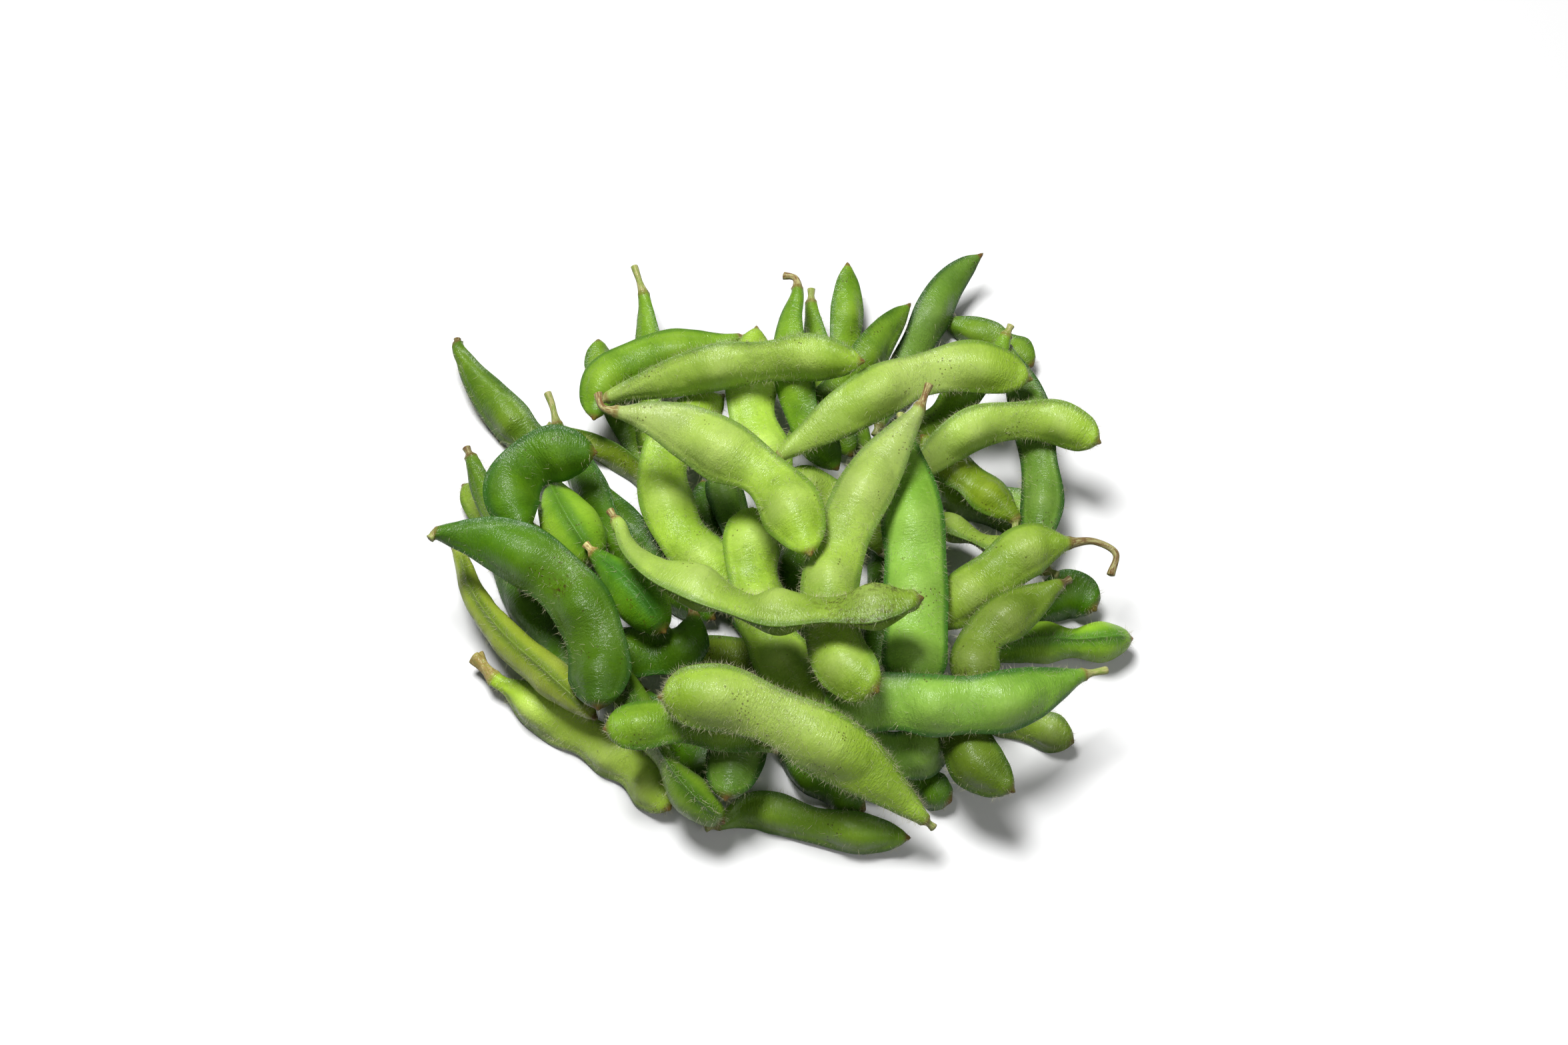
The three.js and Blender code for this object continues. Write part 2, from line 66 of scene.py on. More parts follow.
SHRINK = 0.985              # keeps the rounded section inside the air left around the CAD pod
FLAT = 0.36                 # thickness of the flat pod under the beans, over its width
FLAT_SHARE = 0.45           # the least of a round pod's thickness that is not dome
SHARP_EDGE = 0.22           # how sharply the flat pod narrows to its seams
BEAN_REACH = 0.80           # half length of a bean's dome, over the width of the pod
BEAN_BREADTH = 1.2          # half breadth of the dome, over half the width of the pod
BEAN_FALL = 1.15            # how steeply a dome falls to the flat pod
BEAN_SPACING = 0.57         # the most of the gap between two beans that one dome reaches over
ONE_SIDED = 0.4             # share of a waist's notch that moves from one seam to the other
NECK_BLEND = (0.8, 6)       # millimetres past the calyx in which the round stalk turns flat
BEAK_BLEND = (3.5, 0.5)     # millimetres before the beak in which the pod turns round again
SEAM_RIDGE = 0.40           # millimetres by which a seam stands proud
RIDGE_INSET = 0.6           # share of the ridge by which the pod beside it is drawn in
SEAM_WIDTH = 0.48           # millimetres, half the breadth of the ridge
SEAM_STAIN = 0.5            # millimetres in from the pod's edge that the seam's green reaches
SEAM_GROOVE = 0.2           # the most of the thickness lost in the groove beside a seam
LEAST_GROOVE = 0.2          # share of that in the pod with the shallowest groove
SEAM_GROOVE_AT = 1.25       # millimetres in from the pod's edge
SEAM_GROOVE_WIDTH = 0.45    # millimetres
RIPPLE = 0.055              # millimetres, height of the ripples in the skin
RIPPLE_SPACING = 0.9        # millimetres
RIPPLE_PATCH = 7            # millimetres, how long the rippled patches are
ROUND_A_POD = dict(ripples=5, patches=3, dents=5, flutes=7)    # how many go round a pod
DENT = 0.22                 # millimetres, broad unevenness
DENT_SPACING = 4.5          # millimetres
DENT_SINK = 0.6             # how much more the skin sinks in than it swells out
CALYX_LOBES = 5
CALYX_WIDTH = 0.55          # millimetres
CALYX_FLARE = 0.2           # how much wider than the pod's foot the calyx is
LOBE_DEPTH = 0.4            # share of that which comes and goes with the lobes
STALK_BLEND = 0.6           # millimetres on either side of the calyx
STALK_FLUTING = 0.09        # unevenness of a stalk, over its radius
FLUTE_LENGTH = 3            # millimetres
HUSK_CRUMPLING = 0.4        # the same for a stalk with dry flower rests
HUSK_DRYNESS = 0.75         # how brown those are
HUSK_NECK = dict(depth=0.38, at=2.5, reach=4)   # the narrow neck that follows them
CUT_RING = dict(breadth=0.6, back=0.15)         # the inner ring of a stalk's domed cut end
BEAK_RING = dict(out=0.55, breadth=0.62)        # the ring just before the point of the beak

# Down: short hairs, thick along the seams and at both ends, thin on the broad sides.
DOWN_BARE = 0.025           # share of the full growth on the broad sides
DOWN_SEAM = 0.9             # the same along the seams
DOWN_SEAM_WIDTH = 0.8       # millimetres
DOWN_BALD_SIDE = 0.6        # share of a seam's down that one of the two seams lacks
DOWN_BEAK = dict(growth=0.5, reach=5)            # millimetres before the end of the beak
DOWN_FOOT = dict(growth=0.25, at=2, reach=2.5)   # millimetres past the calyx
DOWN_SADDLE = 0.3
DOWN_SADDLE_LOSS = 0.5      # share of the saddles' down that the fleshy part lacks
DOWN_USUAL = (0.3, 0.8)     # how furry a pod is, drawn at random
DOWN_HIDDEN = 0.6           # the same for the coarse pods, times this
DOWN_MOST = 1.5
DOWN_PER_AREA = 6.5e6       # hairs on a square metre of full growth
DOWN_LENGTH = 1.5 * MM
DOWN_WIDTH = 0.055 * MM
DOWN_TILT = 0.95            # radians, the most that a hair leans
DOWN_SIZES = (0.45, 1.25)   # the smallest and the largest hair, over the usual one
DOWN_CLEAR = 1.6 * MM       # no down this close to the ground
DOWN_GROUPS = {
    "down_top": ("pod_top", "pod_middle"),
    "down_left": ("pod_left",),
    "down_right": ("pod_right",),
    "down_front": ("pod_front",),
    "down_back": ("pod_back", "pod_inner"),
}


# ------------------------ reading the CAD pods

def joined_corners(node):
    """The corners of a CAD pod and the neighbours of each, once its triangles are joined."""
    shape = bmesh.new()
    shape.from_mesh(frame["nodes"][node].data)
    bmesh.ops.remove_doubles(shape, verts=shape.verts, dist=SAME_PLACE)
    shape.verts.index_update()
    corners = np.array([list(corner.co) for corner in shape.verts]) / MM
    neighbours = [{edge.other_vert(corner).index for edge in corner.link_edges}
                  for corner in shape.verts]
    shape.free()
    return corners, neighbours


def steps_from(start, neighbours):
    """For each number of steps from a corner, the corners that lie that far away."""
    levels = [{start}]
    seen = {start}
    while levels[-1]:
        reached = set().union(*(neighbours[corner] for corner in levels[-1])) - seen
        seen |= reached
        levels.append(reached)
    return levels[:-1]


def walk_round(ring, neighbours, corners, ahead):
    """A ring's corners in order, anticlockwise about the direction ahead."""
    order = [min(ring)]
    while len(order) < len(ring):
        onward = [c for c in neighbours[order[-1]] if c in ring and c not in order]
        order.append(min(onward))
    spokes = corners[order] - corners[order].mean(0)
    turn = np.cross(spokes, np.roll(spokes, -1, 0)).sum(0)
    return order if turn @ ahead > 0 else order[::-1]


def line_up(ring, before, neighbours):
    """The ring turned so that each corner follows its own corner of the ring before."""
    def ties(shift):
        straight = sum(ring[(side + shift) % SIDES] in neighbours[corner]
                       for side, corner in enumerate(before))
        slanting = sum(ring[(side + shift + 1) % SIDES] in neighbours[corner]
                       for side, corner in enumerate(before))
        return straight + slanting
    shift = max(range(SIDES), key=ties)
    return ring[shift:] + ring[:shift]


def read_pod(node):
    """A CAD pod as rings from its cut end to its beak: centres, half widths and half
    thicknesses as vectors (millimetres), and its two end points."""
    corners, neighbours = joined_corners(node)
    ends = sorted(range(len(corners)), key=lambda c: -len(neighbours[c]))[:2]
    levels = steps_from(ends[0], neighbours)
    rings = [sorted(level) for level in levels[1:-1]]
    tips = [corners[ends[0]], corners[next(iter(levels[-1]))]]
    sizes = [np.linalg.norm(corners[ring] - corners[ring].mean(0), axis=1).mean() for ring in rings]
    if sizes[1] > sizes[-2]:
        rings.reverse()
        tips.reverse()
    centres = np.array([corners[ring].mean(0) for ring in rings])
    ahead = np.gradient(centres, axis=0)
    rings = [walk_round(ring, neighbours, corners, way) for ring, way in zip(rings, ahead)]
    for at in range(1, len(rings)):
        rings[at] = line_up(rings[at], rings[at - 1], neighbours)
    places = corners[np.array(rings)]
    spread = np.linalg.norm(places - np.roll(places, SIDES // 2, 1), axis=2)[STALK_RINGS:].sum(0)
    places = np.roll(places, -int(spread[:SIDES // 2].argmax()), 1)
    angles = 2 * np.pi * np.arange(SIDES) / SIDES
    wide = 2 / SIDES * np.einsum("rsx,s->rx", places, np.cos(angles))
    broad = 2 / SIDES * np.einsum("rsx,s->rx", places, np.sin(angles))
    return dict(name=node, centres=places.mean(1), wide=wide, broad=broad, tips=tips)


# ------------------------ smooth curves through rings

def length_of(vectors):
    """The length of each vector."""
    return np.linalg.norm(vectors, axis=-1)


def slopes_through(at, values):
    """Slopes for a smooth curve through points in space."""
    gaps = np.diff(at)[:, None]
    rates = np.diff(values, axis=0) / gaps
    slopes = np.empty_like(values)
    slopes[1:-1] = (rates[:-1] * gaps[1:] + rates[1:] * gaps[:-1]) / (gaps[1:] + gaps[:-1])
    slopes[0], slopes[-1] = rates[0], rates[-1]
    return slopes


def gentle_slopes(at, values):
    """Slopes for a curve through sizes that never swells past them."""
    gaps = np.diff(at)
    rates = np.diff(values) / gaps
    slopes = np.zeros(len(values))
    for k in range(1, len(values) - 1):
        if rates[k - 1] * rates[k] > 0:
            before, after = 2 * gaps[k] + gaps[k - 1], gaps[k] + 2 * gaps[k - 1]
            slopes[k] = (before + after) / (before / rates[k - 1] + after / rates[k])
    slopes[0], slopes[-1] = rates[0] * 0.5, rates[-1]
    return slopes


def along_curve(at, values, slopes, wanted):
    """The curve's values at the wanted places."""
    flat = values.ndim == 1
    if flat:
        values, slopes = values[:, None], slopes[:, None]
    k = np.clip(np.searchsorted(at, wanted, side="right") - 1, 0, len(at) - 2)
    gap = (at[k + 1] - at[k])[:, None]
    t = (wanted - at[k])[:, None] / gap
    result = (values[k] * (2 * t ** 3 - 3 * t ** 2 + 1)
              + slopes[k] * gap * (t ** 3 - 2 * t ** 2 + t)
              + values[k + 1] * (3 * t ** 2 - 2 * t ** 3)
              + slopes[k + 1] * gap * (t ** 3 - t ** 2))
    return result[:, 0] if flat else result


def uneven(rng, rows, columns, shape):
    """Smooth random unevenness of about -1 to 1 over a grid, which closes round the pod."""
    grid = rng.uniform(-1, 1, (rows + 2, columns))
    down = np.linspace(0, rows, shape[0])
    round_ = np.arange(shape[1]) / shape[1] * columns
    row, column = down.astype(int), round_.astype(int)
    r, c = (down - row)[:, None], (round_ - column)[None]
    r, c = r * r * (3 - 2 * r), c * c * (3 - 2 * c)
    here, beyond = column % columns, (column + 1) % columns
    near = grid[row][:, here] * (1 - c) + grid[row][:, beyond] * c
    far = grid[row + 1][:, here] * (1 - c) + grid[row + 1][:, beyond] * c
    return near * (1 - r) + far * r


def bump(distance, width):
    """1 at no distance, falling smoothly to nothing a few widths away."""
    return np.exp(-(distance / width) ** 2)


def smooth_step(low, high, value):
    """0 below low, 1 above high and a smooth rise between."""
    t = np.clip((value - low) / (high - low), 0, 1)
    return t * t * (3 - 2 * t)


# ------------------------ what marks out single pods

# How bright the skin of a pod is, where it is not the usual 1: partly the pod's own tone,
# partly painted shade on pods that lie in shade, and painted light on shaded pods that are made
# brighter. Two numbers are for a pod that changes from its stalk to its beak.
TONES_AND_PAINTED_LIGHT = {
    "pod_back_1": 0.85, "pod_back_4": 0.8, "pod_back_5": 0.75, "pod_back_6": 0.8,
    "pod_front_1": 0.8, "pod_front_2": 0.62, "pod_front_3": 0.75, "pod_front_4": 0.95,
    "pod_front_5": 1.4, "pod_inner_1": 0.75, "pod_inner_2": (1.4, 1.1), "pod_inner_5": 0.85,
    "pod_left_1": 0.8, "pod_left_2": 0.75, "pod_left_4": 0.68, "pod_left_5": 0.9,
    "pod_left_7": 1.6, "pod_left_8": 1.2, "pod_left_9": 0.9, "pod_middle_1": 1.18,
    "pod_middle_2": 1.15, "pod_right_1": 0.7, "pod_right_4": 0.8, "pod_right_5": 0.75,
    "pod_right_6": 0.5, "pod_right_7": 1.5, "pod_right_8": 0.83, "pod_right_9": 1.05,
    "pod_right_10": 1.22, "pod_right_11": 0.52, "pod_top_1": (1.05, 0.62), "pod_top_2": 1.2,
    "pod_top_6": 1.06, "pod_top_7": 0.95, "pod_top_8": (1.12, 0.75),
}

# Pods with a broad green rim along their seams, in millimetres.
RIMS = {"pod_right_10": 0.75, "pod_top_2": 0.8, "pod_top_5": 0.65, "pod_right_7": 0.7,
        "pod_left_8": 0.6, "pod_front_3": 0.7, "pod_left_6": 0.7}

# How much down a pod has, where it is not drawn at random.
FURRY = {"pod_top_7": 2.0, "pod_top_5": 1.0, "pod_top_6": 0.8, "pod_middle_2": 1.0,
         "pod_middle_1": 0.9, "pod_top_2": 0.5, "pod_right_10": 0.9, "pod_front_4": 0.7,
         "pod_top_1": 0.3, "pod_left_3": 0.35, "pod_left_5": 0.35, "pod_left_6": 0.3,
         "pod_left_7": 0.3, "pod_right_7": 0.5, "pod_right_11": 0.5, "pod_right_6": 0.4}

# How pale the narrow end of a pod is, from 0 to 1.
PALE_NECKS = {"pod_top_6": 0.65, "pod_top_5": 0.5, "pod_top_3": 0.3, "pod_top_4": 0.25,
              "pod_top_8": 0.3, "pod_right_9": 0.35}

# Pods that have begun to turn yellow, and how far.
RIPE = {"pod_left_9": 0.42, "pod_front_5": 0.1, "pod_right_6": 0.12}

# Pods with dry, crumpled flower rests round the stalk.
HUSKED = ("pod_front_5",)

# Plump pods: the share of their thickness that runs on between the beans.
PLUMP = {"pod_left_8": 0.85, "pod_left_7": 0.9, "pod_left_6": 0.65, "pod_left_9": 0.95,
         "pod_right_7": 0.95, "pod_front_3": 0.9, "pod_right_4": 0.8}
PLUMP_EDGE = 0.05           # how sharply a plump pod narrows to its seams
PLUMP_GROOVE = 0.3          # how much of the groove beside the seam a plump pod has

# The own numbers, 0 to 1, of pods whose stalk must be green (high) or dry (low). The other
# pods draw theirs at random.
STALKS = {"pod_left_5": 0.7, "pod_back_1": 0.7, "pod_right_8": 0.25}

# Skin that is rubbed brown near the top of the pod: from and to along it, 0 to 1.
WORN = {"pod_top_8": (0.74, 0.97), "pod_top_1": (0.5, 0.56), "pod_right_11": (0.9, 0.97)}
NOT_WORN = (2, 3)           # a stretch past the end of any pod
WORN_BLEND = (0.05, 0.03)   # how softly a worn stretch begins and ends
WORN_HEIGHT = (0.78, 0.2)   # its height on the pod, 0 to 1, and half its breadth

# How far the marks on a pod reach.
BULGE_REACH = 0.28          # a bean's bulge along the pod, over the width of the pod there
LEAST_BULGE_WIDTH = 6       # millimetres, the least that this width is taken to be
BULGE_FALL = 1.5            # how steeply the bulge's mark falls to the seams
SADDLE_START = 3            # millimetres past the first bean in which the saddles come in
SADDLE_END = (0.1, 2)       # millimetres before and past the last bean in which they go
LOW_SADDLES = 0.35          # how far the saddles are marked on pods that are not on top
TONE_AND_PAINTED_LIGHT_CHANGE = (0.25, 0.8)   # where a pod's tone, with its painted light and shade, begins and ends changing, along it
NECK_REACH = 0.42           # the pale neck, over the length of the pod
DRY_BEAK = 0.9              # millimetres
DRY_CALYX = 0.8             # how dry a calyx is


# ------------------------ a fine pod

def beans_of(sizes, first):
    """The rings that are widest at a bean: thicker than the rings on both sides."""
    return [k for k in range(first, len(sizes) - 1)
            if sizes[k] > sizes[k - 1] and sizes[k] > sizes[k + 1]]


def smooth_pod(pod):
    """The CAD pod drawn out finely: at each place along it the middle line, the two
    directions across it, and its half width and half thickness in millimetres."""
    detail = COARSE if pod["name"].startswith(COARSE_PREFIXES) else FINE
    half_width, half_thickness = length_of(pod["wide"]), length_of(pod["broad"])
    at = np.concatenate([[0], np.cumsum(length_of(np.diff(pod["centres"], axis=0)))])
    calyx = 2 + int(half_width[2] < half_width[1] * STALK_SWELL)
    places = np.linspace(0, at[-1], max(LEAST_RINGS, int(round(at[-1] / detail["step"]))))

    def drawn(values, slopes):
        return along_curve(at, values, slopes(at, values), places)

    wide_way = drawn(pod["wide"] / half_width[:, None], slopes_through)
    broad_way = drawn(pod["broad"] / half_thickness[:, None], slopes_through)
    wide_way /= length_of(wide_way)[:, None]
    broad_way -= wide_way * (broad_way * wide_way).sum(1)[:, None]
    broad_way /= length_of(broad_way)[:, None]
    width = drawn(half_width, gentle_slopes)
    thickness = drawn(half_thickness, gentle_slopes)
    if pod["name"] in HUSKED:
        past_calyx = places - at[calyx]
        neck = 1 - HUSK_NECK["depth"] * bump(past_calyx - HUSK_NECK["at"], HUSK_NECK["reach"])
        width, thickness = width * neck, thickness * neck

    even = 2 * np.pi * np.arange(detail["around"]) / detail["around"]
    angle = even - SEAM_CROWDING / 2 * np.sin(2 * even)
    fleshy = smooth_step(at[calyx] + NECK_BLEND[0], at[calyx] + NECK_BLEND[1], places)[:, None]
    fleshy = fleshy * (1 - smooth_step(at[-1] - BEAK_BLEND[0], at[-1] - BEAK_BLEND[1],
                                       places))[:, None]
    return SimpleNamespace(
        name=pod["name"], at=at, half_width=half_width, places=places,
        beans=beans_of(half_thickness, calyx + 1), start=at[calyx], end=at[-1],
        line=drawn(pod["centres"], slopes_through), wide_way=wide_way, broad_way=broad_way,
        width=width[:, None], thickness=thickness[:, None], fleshy=fleshy, even=even,
        cosine=np.cos(angle)[None], sine=np.sin(angle)[None], shape=(len(places), len(even)))


def bean_domes(pod):
    """How far each corner of the skin is lifted by the bean under it, from 0 to 1."""
    at, beans = pod.at, pod.beans
    lifted = 0
    for order, bean in enumerate(beans):
        reach = BEAN_REACH * 2 * pod.half_width[bean]
        before = at[bean] - at[beans[order - 1]] if order else 2 * reach
        after = at[beans[order + 1]] - at[bean] if order + 1 < len(beans) else 2 * reach
        along = pod.places - at[bean]
        along = np.where(along < 0, along / min(reach, BEAN_SPACING * before),
                         along / min(reach, BEAN_SPACING * after))
        across = pod.cosine / BEAN_BREADTH
        away = np.clip(np.sqrt(along[:, None] ** 2 + across ** 2), 0, 1)
        lifted = np.maximum(lifted, np.cos(np.pi / 2 * away) ** BEAN_FALL)
    return lifted


def waist_notch(pod, rng):
    """How much deeper the waists are cut in on one seam side than on the other."""
    beans = pod.beans
    kept = [k for k in range(len(pod.at)) if not beans[0] < k < beans[-1] or k in beans]
    at, sizes = pod.at[kept], pod.half_width[kept]
    without_waists = along_curve(at, sizes, gentle_slopes(at, sizes), pod.places)[:, None]
    return np.clip(without_waists - pod.width, 0, None) * ONE_SIDED * rng.choice([-1, 1])


def bare_section(pod, rng):
    """The section at each place: a flat lens, a dome over each bean, and a ridge at each
    seam with a groove beside it."""
    cosine, sine, fleshy = pod.cosine, pod.sine, pod.fleshy
    flat_share, sharp_edge, groove = FLAT_SHARE, SHARP_EDGE, SEAM_GROOVE
    if pod.name in PLUMP:
        flat_share, sharp_edge, groove = PLUMP[pod.name], PLUMP_EDGE, SEAM_GROOVE * PLUMP_GROOVE
    notch = waist_notch(pod, rng) * np.sign(cosine) * np.abs(cosine) ** 0.5
    flat = np.maximum(FLAT * pod.width, flat_share * pod.thickness)
    flat = pod.thickness * (1 - fleshy) + np.minimum(pod.thickness, flat) * fleshy
    dome = (pod.thickness - flat) * bean_domes(pod)
    side = (pod.width - SEAM_RIDGE * RIDGE_INSET * fleshy + notch) * cosine
    rise = sine * (flat * np.abs(sine) ** (sharp_edge * fleshy) + dome)

    pod.from_seam = np.abs(rise)
    pod.from_edge = pod.width * (1 - np.abs(cosine))
    pod.seam = bump(pod.from_seam, SEAM_WIDTH) * fleshy
    beside = bump(pod.from_edge - SEAM_GROOVE_AT, SEAM_GROOVE_WIDTH) * fleshy
    rise = rise * (1 - groove * rng.uniform(LEAST_GROOVE, 1) * beside)
    side = side + np.sign(cosine) * SEAM_RIDGE * pod.seam
    return side * SHRINK, rise * SHRINK


def ripples_and_dents(pod, rng):
    """How far each corner stands out of the bare section, sideways and upwards."""
    outward = np.stack([pod.cosine / pod.width, pod.sine / pod.thickness], -1)
    outward /= length_of(outward)[..., None]
    ripples = uneven(rng, int(pod.end / RIPPLE_SPACING), ROUND_A_POD["ripples"], pod.shape)
    patches = uneven(rng, int(pod.end / RIPPLE_PATCH), ROUND_A_POD["patches"], pod.shape)
    ripples = ripples * (0.5 + 0.5 * patches)
    dents = uneven(rng, max(3, int(pod.end / DENT_SPACING)), ROUND_A_POD["dents"], pod.shape)
    relief = RIPPLE * ripples + DENT * (dents - DENT_SINK)
    return outward * (relief * pod.fleshy * (1 - pod.seam))[..., None]


def calyx_and_stalk(pod, rng):
    """How much wider or narrower the lobed calyx and the fluted stalk make the section."""
    pod.collar = bump(pod.places - pod.start, CALYX_WIDTH)[:, None]
    lobes = np.cos(CALYX_LOBES * pod.even + rng.uniform(0, 6))[None]
    lobes = 1 - LOBE_DEPTH + LOBE_DEPTH * lobes
    pod.stalk = (1 - smooth_step(pod.start - STALK_BLEND, pod.start + STALK_BLEND,
                                 pod.places))[:, None]
    crumpling = HUSK_CRUMPLING if pod.name in HUSKED else STALK_FLUTING
    fluting = uneven(rng, max(3, int(pod.end / FLUTE_LENGTH)), ROUND_A_POD["flutes"], pod.shape)
    return (1 + CALYX_FLARE * pod.collar * lobes) * (1 + crumpling * pod.stalk * fluting)


def bulges_and_saddles(pod):
    """Where along a pod its beans bulge, and where the saddles between them lie."""
    at, beans, places = pod.at, pod.beans, pod.places
    widths = [max(pod.half_width[k] * 2, LEAST_BULGE_WIDTH) for k in beans]
    bulge = sum(bump(places - at[k], BULGE_REACH * width) for k, width in zip(beans, widths))
    bulge = np.clip(bulge, 0, 1)
    first, last = at[beans[0]], at[beans[-1]]
    saddle = smooth_step(first, first + SADDLE_START, places) * (1 - bulge)
    saddle = saddle * (1 - smooth_step(last - SADDLE_END[0], last + SADDLE_END[1], places))
    return bulge, saddle


def down_growth(pod, saddle, rng):
    """How thickly the down grows at each corner: along the seams, at the ends and on the
    saddles, and more on one seam than on the other."""
    edge = bump(pod.from_seam, DOWN_SEAM_WIDTH)
    sides = 1 - DOWN_BALD_SIDE * smooth_step(-0.2, 0.2, pod.cosine * rng.choice([-1, 1]))
    growth = (DOWN_BARE + DOWN_SEAM * edge * sides) * pod.fleshy
    beak = smooth_step(pod.end - DOWN_BEAK["reach"], pod.end, pod.places)
    beak = DOWN_BEAK["growth"] * beak
    foot = bump(pod.places - pod.start - DOWN_FOOT["at"], DOWN_FOOT["reach"])
    foot = DOWN_FOOT["growth"] * foot
    between = DOWN_SADDLE * saddle * (1 - pod.fleshy[:, 0] * DOWN_SADDLE_LOSS)
    growth = growth + (beak + foot + between)[:, None]
    growth = growth * FURRY.get(pod.name, rng.uniform(*DOWN_USUAL))
    if pod.name.startswith(COARSE_PREFIXES):
        growth = growth * DOWN_HIDDEN
    return np.clip(growth, 0, DOWN_MOST) * (1 - pod.stalk)


def worn_skin(pod, points, share):
    """Where the skin is rubbed: a band near the top of the pod."""
    start, stop = WORN.get(pod.name, NOT_WORN)
    worn = smooth_step(start - WORN_BLEND[0], start + WORN_BLEND[0], share)
    worn = worn * smooth_step(stop + WORN_BLEND[1], stop - WORN_BLEND[1], share)
    height = points[..., 2] - points[..., 2].min(1, keepdims=True)
    height = height / height.max(1, keepdims=True)
    return worn[:, None] * bump(height - WORN_HEIGHT[0], WORN_HEIGHT[1])


def marks_of(pod, points, rng):
    """What the material and the down need to know at each corner."""
    bulge, saddle = bulges_and_saddles(pod)
    share = pod.places / pod.places[-1]
    tone = TONES_AND_PAINTED_LIGHT.get(pod.name, 1)
    tone = tone if isinstance(tone, tuple) else (tone, tone)
    beak = smooth_step(pod.end - DRY_BEAK, pod.end, pod.places)[:, None]
    husk = pod.stalk * (HUSK_DRYNESS if pod.name in HUSKED else 0)
    saddle_share = 1 if pod.name.startswith("pod_top") else LOW_SADDLES
    marks = dict(
        seam=bump(pod.from_edge, RIMS.get(pod.name, SEAM_STAIN)) * pod.fleshy,
        # paler over the bean domes: partly the skin's own colour, partly a painted highlight
        bean=bulge[:, None] * np.abs(pod.sine) ** BULGE_FALL,
        saddle=saddle[:, None] * saddle_share,
        dry=np.maximum(beak, np.maximum(pod.collar * DRY_CALYX, husk)),
        stalk=pod.stalk,
        down=down_growth(pod, saddle, rng),
        # tone: the pod's own tone, with painted light and shade on some pods
        tone=np.interp(share, TONE_AND_PAINTED_LIGHT_CHANGE, tone)[:, None],
        neck=(bump(share, NECK_REACH) * PALE_NECKS.get(pod.name, 0))[:, None],
        ripe=np.full((1, 1), float(RIPE.get(pod.name, 0))),
        worn=worn_skin(pod, points, share),
    )
    return {name: values * np.ones(pod.shape) for name, values in marks.items()}


def fine_pod(pod, rng):
    """The pod's rounded skin as closed rings, with what its material needs at each corner."""
    fine = smooth_pod(pod)
    side, rise = bare_section(fine, rng)
    relief = ripples_and_dents(fine, rng)
    swell = calyx_and_stalk(fine, rng)
    side, rise = (side + relief[..., 0]) * swell, (rise + relief[..., 1]) * swell
    points = (fine.line[:, None] + fine.wide_way[:, None] * side[..., None]
              + fine.broad_way[:, None] * rise[..., None])
    points[..., 2] = np.maximum(points[..., 2], 0)
    marks = marks_of(fine, points, rng)
    onward = (fine.places - fine.start)[:, None] * np.ones(fine.shape)
    straight = np.stack([side, rise, onward], -1)
    return dict(points=points, marks=marks, straight=straight, tips=pod["tips"],
                last=fine.end - fine.start)


def closed_skin(pod, skin, seed_value):
    """The pod as a mesh: its rings, a domed cut end and a pointed beak."""
    points = skin["points"]
    count, number = points.shape[:2]
    first, last = points[0].mean(0), points[-1].mean(0)
    cut, beak = np.array(skin["tips"][0]), np.array(skin["tips"][1])
    inner = cut + (points[0] - first) * CUT_RING["breadth"]
    inner = inner + (first - cut) * CUT_RING["back"]
    outer = last + (beak - last) * BEAK_RING["out"] + (points[-1] - last) * BEAK_RING["breadth"]
    rings = np.concatenate([inner[None], points, outer[None]])
    rings[..., 2] = np.maximum(rings[..., 2], 0)
    corners = np.concatenate([rings.reshape(-1, 3), cut[None], beak[None]])
    corners[:, 2] = np.maximum(corners[:, 2], 0)

    rows = count + 2
    ring = np.arange(rows - 1)[:, None] * number
    side = np.arange(number)[None]
    onward = (side + 1) % number
    quads = np.stack([ring + side, ring + onward, ring + number + onward, ring + number + side], -1)
    faces = quads.reshape(-1, 4).tolist()
    cut_index, beak_index = rows * number, rows * number + 1
    top = (rows - 1) * number
    for s in range(number):
        faces.append([cut_index, (s + 1) % number, s])
        faces.append([beak_index, top + s, top + (s + 1) % number])

    mesh = bpy.data.meshes.new(pod["name"].replace("pod_", "edamame_"))
    mesh.from_pydata((corners * MM).tolist(), [], faces)
    mesh.polygons.foreach_set("use_smooth", [True] * len(faces))

    def padded(values, at_cut, at_beak):
        ringed = np.concatenate([values[:1], values, values[-1:]]).reshape(rows * number, -1)
        return np.concatenate([ringed, [at_cut], [at_beak]])

    for name, values in skin["marks"].items():
        end_values = {"dry": (1, 1), "stalk": (1, 0), "tone": (1, 1)}.get(name, (0, 0))
        numbers = padded(values, [end_values[0]], [end_values[1]])
        layer = mesh.attributes.new(name, "FLOAT", "POINT")
        layer.data.foreach_set("value", numbers[:, 0])
    start = skin["straight"][0].mean(0)
    straight = padded(skin["straight"], start - [0, 0, 0.5], [0, 0, skin["last"] + 1])
    layer = mesh.attributes.new("straight", "FLOAT_VECTOR", "POINT")
    layer.data.foreach_set("vector", (straight + [0, 0, seed_value * 300]).ravel())
    layer = mesh.attributes.new("own", "FLOAT", "POINT")
    layer.data.foreach_set("value", [seed_value] * len(corners))
    mesh.update()
    return mesh


# ------------------------ node helpers

